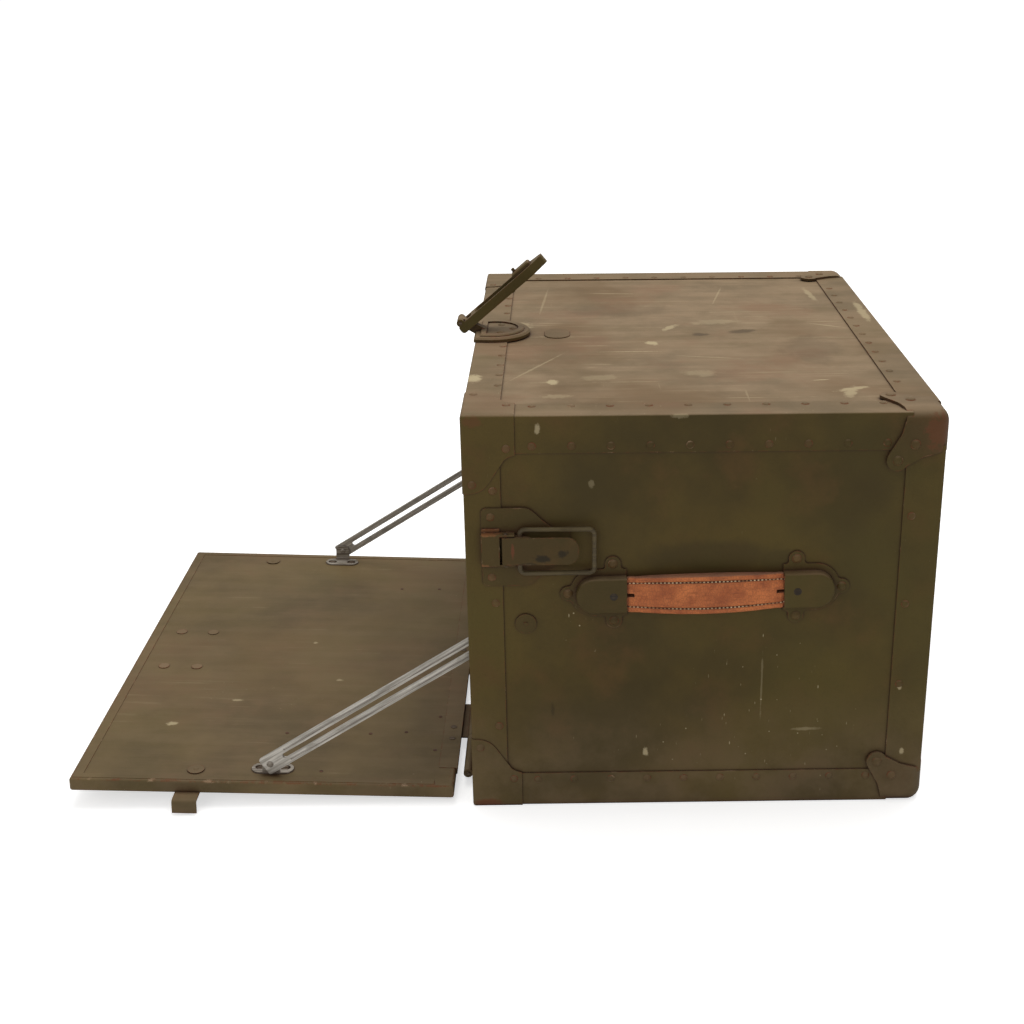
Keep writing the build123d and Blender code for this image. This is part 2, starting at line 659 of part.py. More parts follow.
def handle_strap():
    """The leather strap, bowed a little away from the panel, with a slot near each end."""
    rise = 5.5
    low_end = 3.0
    inner = Spline((-strap_end, low_end), (-60, low_end + 0.3), (0, low_end + rise), (60, low_end + 0.3),
                   (strap_end, low_end), tangents=[(1, 0), (1, 0)])
    outer = Spline((strap_end, low_end + strap_thick), (60, low_end + strap_thick + 0.3),
                   (0, low_end + strap_thick + rise), (-60, low_end + strap_thick + 0.3),
                   (-strap_end, low_end + strap_thick), tangents=[(-1, 0), (-1, 0)])
    ends = [Line((strap_end, low_end), (strap_end, low_end + strap_thick)),
            Line((-strap_end, low_end + strap_thick), (-strap_end, low_end))]
    profile = make_face([inner, ends[0], outer, ends[1]])
    strap = Rot(90, 0, 0) * extrude(profile, strap_half, both=True)
    outline = RectangleRounded(2 * strap_end, 2 * strap_tongue, 10)
    outline += RectangleRounded(2 * cap_mouth - 1, 2 * strap_half, 1)
    strap &= extrude(outline, 30, both=True)
    for x in (-strap_end + 22, strap_end - 22):
        strap -= Pos(x, 0, 0) * extrude(SlotOverall(26, 2.8), 30, both=True)
    return strap


def build_handles():
    """A leather handle between two capped plates on each side."""
    def twin(shape):
        return [shape, mirror(shape, about=Plane.YZ)]

    for name, piece in (("handle_plates", handle_plate()), ("handle_caps", handle_cap()),
                        ("handle_studs", handle_stud())):
        add(name, *[copy for p in twin(piece) for copy in both(on_handle(p))])
    ears = [(-ear_tip, 0), (-ear_x, ear_z), (-ear_x, -ear_z)]
    heads = [Pos(x, y, 1.5) * dome(3.9, 2.2) for x, y in ears]
    add("handle_rivets", *[copy for h in heads for p in twin(h) for copy in both(on_handle(p))])
    strap = on_handle(handle_strap())
    add("handle_strap_near", strap)
    add("handle_strap_far", far(strap))


# ======================= Hasp =======================
def on_hasp(shape):
    """Place a piece from the hasp's own frame: X along the strap from its pivot, Z to the door side."""
    return Pos(hasp_x, 0, hasp_z) * Rot(0, -hasp_angle, 0) * shape


def hasp_strap():
    """The hasp: a dished channel with a rounded end and two knuckles."""
    outline = make_face(Polyline((-4.5, -hasp_half), (hasp_length - 16, -hasp_half), (hasp_length, -4.5),
                                 (hasp_length, 4.5), (hasp_length - 16, hasp_half), (-4.5, hasp_half), close=True))
    tips = [v for v in outline.vertices() if v.X > hasp_length - 20]
    outline = fillet(tips, 4.5)
    solid = Pos(0, 0, -hasp_skin) * extrude(outline, hasp_flange)
    solid = fillet(solid.edges().filter_by(Axis.Y).group_by(Axis.X)[0], 3.0)
    floor = hasp_sheet - hasp_skin
    solid -= Pos(48, 0, floor) * extrude(RectangleRounded(64, 2 * hasp_half - 4, 5), 12)
    solid -= block(60, staple_along + 10.4, -6.8, 6.8, floor, 12)
    solid += drum(0, 0, hasp_barrel, -hasp_half, hasp_half)
    solid -= block(-20, 11, -hasp_tongue - 0.3, hasp_tongue + 0.3, -20, 20)
    return solid - drum(0, 0, pin_radius + running_fit, -side, side)


def hasp_staple():
    """The raised lock block inside the dish, its pin, and the knob outside."""
    floor = -hasp_skin + hasp_sheet
    base = block(staple_along - 10, staple_along + 10, -6.5, 6.5, floor, 2.3)
    base = chamfer(base.edges().group_by(Axis.Z)[-1], 1.2)
    pin = post(staple_along - 6, 0, 1.6, 2.2, 5.6)
    return base + pin


def hasp_knob():
    """The rivet knob on the outer skin."""
    return Pos(55, 0, -hasp_skin) * Rot(180, 0, 0) * dome(3.4, 2.4)


def mount_outline(inset):
    """The mount's D-shaped outline, straight along the front and round behind, set in all round."""
    x0 = -1 + inset
    half = mount_half - inset
    x1 = max(6, x0 + 1)
    straight = Polyline((x1, half), (x0, half), (x0, -half), (x1, -half))
    return make_face([straight, ThreePointArc((x1, -half), (mount_depth - inset, 0), (x1, half))])


def hasp_mount():
    """The mount on the top, a D-shaped plate with a raised rim and a tongue for the pin."""
    plate = Pos(front, 0, case_height) * extrude(mount_outline(0), 4.2)
    plate = chamfer(plate.edges().group_by(Axis.Z)[-1], 1.6)
    raised = Pos(front, 0, case_height + 4.2) * extrude(mount_outline(5.5), 1.6)
    raised = chamfer(raised.edges().group_by(Axis.Z)[-1], 1.0)
    plate += raised - Pos(front, 0, case_height + 4.4) * extrude(mount_outline(11), 4)
    plate += prism_y([(front + 9, case_height + 2), (front - 1, case_height + 1), (hasp_x - 1.6, hasp_z - 3.1),
                      (hasp_x + 1.6, hasp_z + 3.1), (front + 9, case_height + 5.6)], -hasp_tongue, hasp_tongue)
    plate += drum(hasp_x, hasp_z, hasp_barrel, -hasp_tongue, hasp_tongue)
    return plate - drum(hasp_x, hasp_z, pin_radius + running_fit, -side, side)


def build_hasp():
    """Mount, hasp and lock block."""
    add("hasp_mount", hasp_mount())
    add("hasp_pin", drum(hasp_x, hasp_z, pin_radius, -hasp_half - 0.4, hasp_half + 0.4))
    heads = [Pos(front + x, y, case_height + 4.4) * dome(3.6, 1.6) for x, y in ((23, -14), (23, 14), (34, 0))]
    for z in (-26, 26):
        heads += both(Pos(front + 21, -side - 1.2, latch_z + z) * TO_NEAR * rivet)
    add("latch_and_mount_rivets", *heads)
    add("hasp", on_hasp(hasp_strap()))
    add("hasp_staple", on_hasp(hasp_staple()))
    add("hasp_knob", on_hasp(hasp_knob()))


build_case()
build_door()
build_stays()
build_latches()
build_handles()
build_hasp()

os.makedirs("parts", exist_ok=True)
for name, part in parts.items():
    export_step(part, f"parts/{name}.step")
print(len(parts), "nodes; stay slot pin to stud", round(stay_reach, 1), "at", round(stay_angle, 1), "degrees")
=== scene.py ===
from math import cos, radians, sin

import bmesh
import bpy
from mathutils import Matrix, Vector


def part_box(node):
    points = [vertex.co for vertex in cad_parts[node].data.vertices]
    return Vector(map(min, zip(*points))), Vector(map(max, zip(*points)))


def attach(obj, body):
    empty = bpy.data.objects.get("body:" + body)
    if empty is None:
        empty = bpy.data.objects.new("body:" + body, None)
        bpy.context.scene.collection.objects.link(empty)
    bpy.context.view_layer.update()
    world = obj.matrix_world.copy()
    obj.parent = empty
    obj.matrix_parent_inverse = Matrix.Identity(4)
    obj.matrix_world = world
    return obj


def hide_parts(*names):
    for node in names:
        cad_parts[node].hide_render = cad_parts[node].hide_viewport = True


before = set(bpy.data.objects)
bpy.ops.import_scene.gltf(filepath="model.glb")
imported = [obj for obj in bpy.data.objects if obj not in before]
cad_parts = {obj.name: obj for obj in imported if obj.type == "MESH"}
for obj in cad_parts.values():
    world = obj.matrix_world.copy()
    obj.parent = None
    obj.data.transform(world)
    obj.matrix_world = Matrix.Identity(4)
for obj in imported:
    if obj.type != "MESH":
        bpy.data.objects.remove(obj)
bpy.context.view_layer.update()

scene = bpy.context.scene
scene.view_settings.view_transform = "Standard"


# ======================= Camera, floor and light =======================
def place_camera():
    """Stand in front of the near side, a little left of its middle and looking down on the top."""
    yaw, down, roll = radians(-0.59), radians(20.77), radians(-0.42)
    level = Vector((cos(yaw), sin(yaw), 0))
    ahead = Vector((-sin(yaw) * cos(down), cos(yaw) * cos(down), -sin(down)))
    above = Vector((-sin(yaw) * sin(down), cos(yaw) * sin(down), cos(down)))
    right = level * cos(roll) + above * sin(roll)
    up = above * cos(roll) - level * sin(roll)
    camera = bpy.data.objects.new("camera", bpy.data.cameras.new("camera"))
    scene.collection.objects.link(camera)
    camera.matrix_world = Matrix((right, up, -ahead)).transposed().to_4x4()
    camera.location = (-0.1100, -1.3936, 0.7105)
    camera.data.lens = 54.0
    camera.data.sensor_width = 36.0
    camera.data.shift_x = -0.0661
    camera.data.shift_y = -0.0116
    scene.camera = camera


def add_light(name, place, aim, size, watts, tint):
    """A square soft light that faces a point."""
    light = bpy.data.objects.new(name, bpy.data.lights.new(name, "AREA"))
    scene.collection.objects.link(light)
    light.data.size = size
    light.data.energy = watts
    light.data.color = tint
    light.location = place
    light.rotation_euler = (Vector(aim) - Vector(place)).to_track_quat("-Z", "Y").to_euler()


def camera_switch(tree, output, unseen, seen):
    """Give a shader output one shader for what lights the scene and another for what is looked at."""
    choice = tree.nodes.new("ShaderNodeMixShader")
    tree.links.new(tree.nodes.new("ShaderNodeLightPath").outputs["Is Camera Ray"], choice.inputs[0])
    tree.links.new(unseen.outputs[0], choice.inputs[1])
    tree.links.new(seen.outputs[0], choice.inputs[2])
    tree.links.new(choice.outputs[0], output)


def light_studio():
    """A pale floor, an even white surround and soft lights above and in front."""
    world = bpy.data.worlds.new("surround")
    world.use_nodes = True
    tree = world.node_tree
    soft = tree.nodes["Background"]
    soft.inputs["Color"].default_value = (1, 1, 1, 1)
    soft.inputs["Strength"].default_value = 0.5
    white = tree.nodes.new("ShaderNodeBackground")
    white.inputs["Color"].default_value = (1, 1, 1, 1)
    camera_switch(tree, tree.nodes["World Output"].inputs["Surface"], soft, white)
    scene.world = world
    add_light("overhead", (0.15, 0.5, 2.4), (0.0, 0.0, 0.3), 1.8, 36, (1, 0.985, 0.96))
    add_light("front", (-1.5, -2.6, 1.7), (0.0, 0.0, 0.15), 1.6, 9, (1, 0.98, 0.95))
    bpy.ops.mesh.primitive_plane_add(size=60)
    floor = bpy.context.object
    floor.name = "floor"
    pale = bpy.data.materials.new("pale_floor")
    pale.use_nodes = True
    tree = pale.node_tree
    matt = tree.nodes["Principled BSDF"]
    matt.inputs["Base Color"].default_value = (0.85, 0.85, 0.85, 1)
    matt.inputs["Roughness"].default_value = 0.9
    glow = tree.nodes.new("ShaderNodeEmission")
    glow.inputs["Strength"].default_value = 0.6
    lifted = tree.nodes.new("ShaderNodeAddShader")
    tree.links.new(matt.outputs[0], lifted.inputs[0])
    tree.links.new(glow.outputs[0], lifted.inputs[1])
    camera_switch(tree, tree.nodes["Material Output"].inputs["Surface"], matt, lifted)
    floor.data.materials.append(pale)


# ======================= Shader expressions =======================
def tone(red, green, blue):
    """A colour as it is seen, from 0 to 255, as the shader's linear colour."""
    parts = [c / 255 for c in (red, green, blue)]
    return tuple(c / 12.92 if c <= 0.04045 else ((c + 0.055) / 1.055) ** 2.4 for c in parts) + (1.0,)


class Value:
    """A shader socket that takes arithmetic."""

    def __init__(self, finish, socket):
        self.finish = finish
        self.socket = socket

    def maths(self, operation, first, second):
        return self.finish.node("ShaderNodeMath", {"operation": operation}, (first, second))

    def __add__(self, other):
        return self.maths("ADD", self, other)

    def __sub__(self, other):
        return self.maths("SUBTRACT", self, other)

    def __rsub__(self, other):
        return self.maths("SUBTRACT", other, self)

    def __mul__(self, other):
        return self.maths("MULTIPLY", self, other)

    def __or__(self, other):
        return self.maths("MAXIMUM", self, other)

    __radd__ = __add__
    __rmul__ = __mul__

    def between(self, low, high):
        """0 at low and 1 at high, eased and clamped."""
        settings = {"interpolation_type": "SMOOTHSTEP"}
        return self.finish.node("ShaderNodeMapRange", settings, (self, low, high, 0.0, 1.0))


class Finish:
    """A node material, with the shader's constants and helpers for patterns in the piece's own space."""

    def __init__(self, name, **constants):
        self.material = bpy.data.materials.new(name)
        self.material.use_nodes = True
        self.tree = self.material.node_tree
        self.tree.nodes.clear()
        self.shader = self.tree.nodes.new("ShaderNodeBsdfPrincipled")
        surface = self.tree.nodes.new("ShaderNodeOutputMaterial")
        self.tree.links.new(self.shader.outputs[0], surface.inputs["Surface"])
        for socket, value in constants.items():
            self.shader.inputs[socket.replace("_", " ")].default_value = value
        self.place = self.node("ShaderNodeTexCoord", output="Object")
        facing = self.node("ShaderNodeTexCoord", output="Normal")
        self.facing = self.node("ShaderNodeSeparateXYZ", inputs=(facing,), output="Z")
        self.height = self.node("ShaderNodeSeparateXYZ", inputs=(self.place,), output="Z")

    def node(self, kind, settings=None, inputs=(), output=0):
        """Any node: its settings first, then the values or links of its sockets."""
        made = self.tree.nodes.new(kind)
        for key, value in (settings or {}).items():
            setattr(made, key, value)
        pairs = inputs.items() if isinstance(inputs, dict) else enumerate(inputs)
        for key, value in pairs:
            if isinstance(value, Value):
                self.tree.links.new(value.socket, made.inputs[key])
            elif value is not None:
                made.inputs[key].default_value = value
        return Value(self, made.outputs[output])

    def feed(self, **links):
        """Link values that change over the surface into the shader."""
        for socket, value in links.items():
            self.tree.links.new(value.socket, self.shader.inputs[socket.replace("_", " ")])

    def mix(self, mask, plain, marked):
        """One colour laid over another by a mask."""
        return self.node("ShaderNodeMix", {"data_type": "RGBA"}, {0: mask, 6: plain, 7: marked}, output=2)

    def stretched(self, *factors):
        """The piece's own space, stretched along each axis."""
        return self.node("ShaderNodeVectorMath", {"operation": "MULTIPLY"}, (self.place, factors))

    def noise(self, scale, detail=4.0, rough=0.55, where=None):
        """Cloudy noise around a half."""
        inputs = {"Vector": where or self.place, "Scale": scale, "Detail": detail, "Roughness": rough}
        return self.node("ShaderNodeTexNoise", inputs=inputs)

    def cells(self, scale, where=None):
        """Distance to the nearest of scattered points."""
        return self.node("ShaderNodeTexVoronoi", inputs={"Vector": where or self.place, "Scale": scale})

    def mark(self, at, size, turn=0.0, ragged=0.95, grain=200.0):
        """One soft-edged patch, from its middle and half sizes in millimetres, turned about Z."""
        local = self.node("ShaderNodeMapping", {"vector_type": "TEXTURE"}, {
            "Vector": self.place, "Location": [c / 1000 for c in at], "Rotation": (0, 0, radians(turn)),
            "Scale": [c / 1000 for c in size]})
        reach = self.node("ShaderNodeVectorMath", {"operation": "LENGTH"}, (local,), output="Value")
        return 1 - (reach + (self.noise(grain, 5.0, 0.7) - 0.5) * (2 * ragged)).between(0.45, 1.0)

    def marks(self, *several):
        """The strongest of several patches, each with its strength first."""
        total = None
        for strength, *patch in several:
            one = self.mark(*patch) * strength
            total = one if total is None else total | one
        return total

    def edges(self, radius):
        """1 on outside edges and 0 on flats."""
        rounded = self.node("ShaderNodeBevel", {"samples": 4}, {"Radius": radius})
        plain = self.node("ShaderNodeNewGeometry", output="Normal")
        product = {"operation": "DOT_PRODUCT"}
        agree = self.node("ShaderNodeVectorMath", product, (rounded, plain), output="Value")
        return (1 - agree).between(0.01, 0.22)

    def shade_mask(self, distance):
        """Painted shade from ambient occlusion: 1 in the corners between pieces and 0 in the open."""
        reach = {"Distance": distance}
        open_air = self.node("ShaderNodeAmbientOcclusion", {"samples": 6}, reach, output="AO")
        return 1 - open_air.between(0.35, 0.95)

    def bump(self, height, distance, strength=1.0):
        """Relief in metres, from a height of 0 to 1."""
        inputs = {"Strength": strength, "Distance": distance, "Height": height}
        self.feed(Normal=self.node("ShaderNodeBump", inputs=inputs))


# ======================= Finishes =======================
OLIVE = tone(88, 72, 31)
DEEP_OLIVE = tone(69, 57, 25)
GREEN_OLIVE = tone(86, 75, 31)
BROWN_OLIVE = tone(93, 68, 36)
DUST = tone(139, 118, 92)
CREAM = tone(184, 168, 132)
RUST = tone(112, 60, 34)
DARK_RUST_AND_SHADE = tone(74, 47, 32)
BARE_AND_HIGHLIGHT = tone(176, 146, 116)
STAIN = tone(46, 38, 22)
RUST_MARK = tone(108, 62, 38)
REDDENED = tone(124, 92, 68)
CREVICE_SHADE = tone(46, 31, 20)


def paint(name, base=OLIVE, dust=0.75, rust=0.35, specks=0.5, cream=(), stains=(), rusts=(), sprinkles=(),
          streaks=0.0, bare=0.35, rim=0.007, stain=STAIN, marked=RUST_MARK):
    """Old olive paint: mottled, dusty where it faces up, lighter near the bottom of upright faces, browned
    and darkened in the corners by painted shade, and rubbed light on the edges, partly wear and partly
    painted highlight.
    """
    made = Finish(name, Specular_IOR_Level=0.22)
    broad = made.noise(7.0, 5.0, 0.6)
    cloud = made.noise(19.0, 5.0, 0.62)
    brushed = made.noise(1.0, 5.0, 0.6, made.stretched(6.0, 60.0, 42.0))
    grain = made.noise(420.0, 3.0, 0.6)
    colour = made.mix(broad.between(0.34, 0.66), DEEP_OLIVE, base)
    colour = made.mix(cloud.between(0.5, 0.72) * 0.55, colour, BROWN_OLIVE)
    colour = made.mix(made.noise(4.0, 3.0).between(0.5, 0.64) * 0.5, colour, GREEN_OLIVE)
    colour = made.mix(grain.between(0.52, 0.75) * 0.22, colour, DEEP_OLIVE)
    upward = made.facing.between(0.35, 0.95)
    settled = upward * (cloud.between(0.3, 0.62) * 0.32 + brushed.between(0.38, 0.62) * 0.22 + 0.5) * dust
    colour = made.mix(settled, colour, DUST)
    colour = made.mix(upward * made.noise(6.0, 4.0).between(0.5, 0.68) * (0.5 * dust), colour, BROWN_OLIVE)
    reddened = upward * made.noise(9.0, 5.0, 0.65).between(0.5, 0.66) * (0.45 * dust)
    colour = made.mix(reddened, colour, REDDENED)
    # Upright faces turn lighter, towards the dust colour, near the bottom.
    low_lightening = (1 - made.height.between(0.0, 0.125)) * (0.16 + 0.2 * cloud.between(0.35, 0.6))
    colour = made.mix(low_lightening * (1 - upward), colour, DUST)
    if streaks:
        fine = made.noise(1.0, 4.0, 0.65, made.stretched(5.0, 210.0, 210.0)).between(0.57, 0.72)
        across = made.noise(1.0, 3.0, 0.6, made.stretched(160.0, 7.0, 160.0)).between(0.69, 0.78)
        colour = made.mix((fine | across * 0.6) * cloud.between(0.42, 0.62) * streaks, colour, CREAM)
    if stains:
        colour = made.mix(made.marks(*stains), colour, stain)
    if cream:
        colour = made.mix(made.marks(*cream), colour, CREAM)
    if rusts:
        colour = made.mix(made.marks(*rusts), colour, marked)
    dots = 1 - made.cells(105.0).between(0.03, 0.09)
    strokes = (1 - made.cells(1.0, made.stretched(230.0, 120.0, 60.0)).between(0.04, 0.13)) * \
        made.noise(55.0, 3.0).between(0.42, 0.58)
    patchy = made.noise(11.0, 3.0, 0.6).between(0.55, 0.68)
    where = patchy * specks
    if sprinkles:
        where = where | made.marks(*sprinkles)
    colour = made.mix((dots | strokes) * where, colour, CREAM)
    # Rust-brown painted shade in the corners between pieces, stronger with more rust.
    corners = made.shade_mask(rim)
    colour = made.mix(corners * (0.5 + 0.5 * rust), colour, DARK_RUST_AND_SHADE)
    # Dark painted shade in the tight gaps between pieces.
    colour = made.mix(made.shade_mask(0.0022) * 0.75, colour, CREVICE_SHADE)
    rubbed = made.edges(0.0016)
    chipped = made.noise(130.0, 4.0, 0.7).between(0.46, 0.6)
    colour = made.mix(rubbed * chipped * (0.25 + rust), colour, RUST)
    # Light patches on the outside edges: worn paint, and a painted highlight on the rounded edges; bare sets
    # their strength.
    worn_and_highlit = rubbed * made.noise(75.0, 4.0, 0.7).between(0.56, 0.68) * bare
    colour = made.mix(worn_and_highlit, colour, BARE_AND_HIGHLIGHT)
    made.feed(Base_Color=colour, Roughness=0.5 + 0.16 * cloud + 0.22 * settled - 0.15 * worn_and_highlit)
    made.bump(0.55 * grain + 0.3 * made.noise(130.0, 3.0) + 0.5 * brushed - 0.6 * dots * patchy, 0.00035, 0.7)
    return made.material


def metal(name, base, dark, metallic=0.75, rough=0.42, along=(25.0, 600.0, 600.0), rust=0.2, turn=0.0):
    """Old plated or bare steel: rubbed along its length, dull patches, a little rust and painted shade in the
    corners.
    """
    made = Finish(name)
    turned = made.node("ShaderNodeMapping", None, {"Vector": made.place, "Rotation": (0, radians(turn), 0)})
    lengthwise = made.node("ShaderNodeVectorMath", {"operation": "MULTIPLY"}, (turned, along))
    rubbing = made.noise(1.0, 4.0, 0.6, lengthwise)
    patches = made.noise(45.0, 5.0, 0.65)
    pits = 1 - made.cells(420.0).between(0.06, 0.2)
    colour = made.mix(rubbing.between(0.36, 0.66), dark, base)
    colour = made.mix(patches.between(0.5, 0.68) * 0.6, colour, dark)
    # Painted shade in the corners, with rust stains in patches and pits, darkens the steel and dulls its
    # shine.
    corners = made.shade_mask(0.004)
    stain_and_shade = corners * 0.75 | patches.between(0.6, 0.72) * rust | pits * patches.between(0.5, 0.6) * rust
    colour = made.mix(stain_and_shade, colour, DARK_RUST_AND_SHADE)
    made.feed(Base_Color=colour, Metallic=metallic * (1 - stain_and_shade),
              Roughness=rough + 0.25 * patches.between(0.4, 0.7))
    made.bump(rubbing * 0.6 + patches * 0.3 - pits * 0.5, 0.0002, 0.6)
    return made.material


def harness_leather():
    """Russet strap leather: darker creases and grain, dull rubbed edges."""
    made = Finish("harness_leather", Specular_IOR_Level=0.4)
    pores = 1 - made.cells(1500.0).between(0.1, 0.55)
    creases = 1 - made.node("ShaderNodeTexVoronoi", {"feature": "DISTANCE_TO_EDGE"}, {
        "Vector": made.stretched(1.0, 1.0, 0.55), "Scale": 520.0}).between(0.0, 0.12)
    cloud = made.noise(38.0, 5.0, 0.62)
    fibres = made.noise(1.0, 4.0, 0.6, made.stretched(90.0, 700.0, 700.0))
    colour = made.mix(cloud.between(0.34, 0.66), tone(164, 86, 43), tone(210, 122, 66))
    colour = made.mix(fibres.between(0.5, 0.7) * 0.45, colour, tone(140, 70, 36))
    colour = made.mix(made.noise(16.0, 4.0).between(0.54, 0.7) * 0.4, colour, tone(122, 66, 38))
    colour = made.mix(creases * 0.35, colour, tone(104, 54, 32))
    colour = made.mix(made.edges(0.0012) * 0.6, colour, tone(120, 72, 48))
    colour = made.mix(made.facing.between(0.4, 0.9) * 0.7, colour, tone(116, 92, 76))
    # Painted shade where the strap meets other parts and in tight gaps.
    colour = made.mix(made.shade_mask(0.003) * 0.7, colour, tone(58, 34, 24))
    colour = made.mix(made.shade_mask(0.0012) * 0.8, colour, tone(60, 30, 18))
    made.feed(Base_Color=colour, Roughness=0.42 + 0.3 * cloud)
    made.bump(0.35 * pores - 0.5 * creases + 0.4 * fibres + 0.3 * cloud, 0.0003, 0.8)
    return made.material


def waxed_thread():
    """Pale waxed linen thread, greyed by handling."""
    made = Finish("waxed_thread")
    twist = made.noise(1.0, 2.0, 0.5, made.stretched(2600.0, 2600.0, 900.0))
    dirt = made.noise(60.0, 4.0)
    colour = made.mix(dirt.between(0.4, 0.66), tone(226, 202, 160), tone(160, 120, 82))
    made.feed(Base_Color=colour, Roughness=0.6 + 0.2 * twist)
    made.bump(twist, 0.0002, 0.6)
    return made.material


def needle_hole_shade():
    """Dark dots at the stitch holes: painted shade in the holes, and darkened leather round them."""
    made = Finish("needle_hole_shade")
    cloud = made.noise(60.0, 4.0)
    made.feed(Base_Color=made.mix(cloud, tone(58, 28, 16), tone(92, 48, 28)), Roughness=0.6 + 0.2 * cloud)
    return made.material


def bare_edge_wood():
    """The inside faces of the boards: old brown paint rubbed thin over the grain."""
    made = Finish("rubbed_rail", Specular_IOR_Level=0.3)
    rings = made.noise(1.0, 5.0, 0.6, made.stretched(60.0, 4.0, 90.0))
    cloud = made.noise(24.0, 5.0, 0.6)
    colour = made.mix(rings.between(0.35, 0.65), tone(84, 62, 42), tone(126, 98, 70))
    colour = made.mix(cloud.between(0.45, 0.65) * 0.7, colour, OLIVE)
    # Painted shade in the corners.
    colour = made.mix(made.shade_mask(0.01) * 0.6, colour, tone(46, 34, 26))
    made.feed(Base_Color=colour, Roughness=0.62 + 0.2 * cloud)
    made.bump(rings * 0.7 + cloud * 0.3, 0.0005, 0.7)
    return made.material


